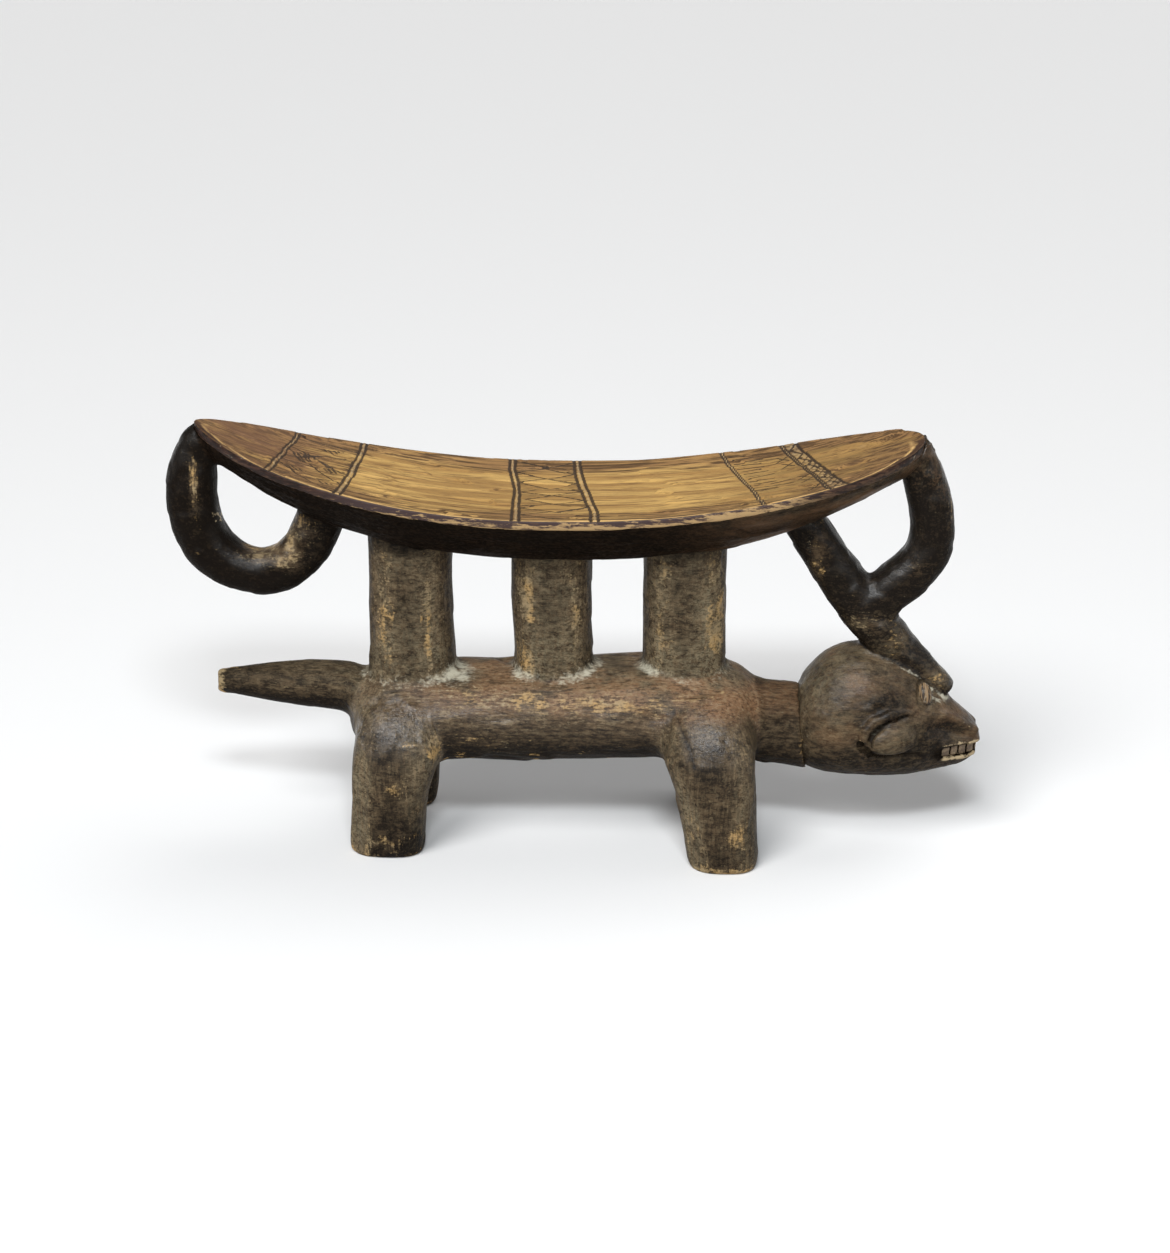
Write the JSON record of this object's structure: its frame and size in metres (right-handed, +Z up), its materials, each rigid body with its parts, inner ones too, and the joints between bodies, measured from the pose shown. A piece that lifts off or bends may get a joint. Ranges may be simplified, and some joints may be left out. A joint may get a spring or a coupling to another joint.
{
  "type": "animal headrest",
  "caption": "Carved wooden headrest: a four-legged, long-tailed animal carries a curved, engraved boat-shaped seat on posts, horns and a loop handle.",
  "frame": {"origin": "on the ground, under the middle of the bounding box", "axes": "+X to the animal's nose, along the longest side; +Z up; -Y is the animal's right side"},
  "size_m": [0.4291, 0.1074, 0.2283],
  "materials": {
    "seat": "hand-rubbed, worn golden, with engraved bands",
    "posts": "adzed and worn dull brown",
    "body": "smoke-darkened patina, rubbed on top",
    "tail": "dark patina",
    "loop": "near-black patina, worn to ochre in patches",
    "legs": "dark patina with scraped streaks",
    "neck": "dark patina",
    "head": "dark patina, dusty in the creases",
    "teeth": "pale bare wood",
    "eyes": "brown, dusty round the edge",
    "horns": "near-black patina, satin"
  },
  "bodies": {
    "root": {"seat": "seat", "post_rear": "posts", "post_middle": "posts", "post_front": "posts", "body": "body", "tail": "tail", "tail_loop": "loop", "leg_rear_right": "legs", "leg_rear_left": "legs", "leg_front_right": "legs", "leg_front_left": "legs", "neck": "neck", "skull": "head", "upper_jaw": "head", "lower_jaw": "head", "teeth": "teeth", "ear_right": "head", "ear_left": "head", "eye_right": "eyes", "eye_left": "eyes", "horn_long": "horns", "horn_hooked": "horns"}
  },
  "joints": []
}
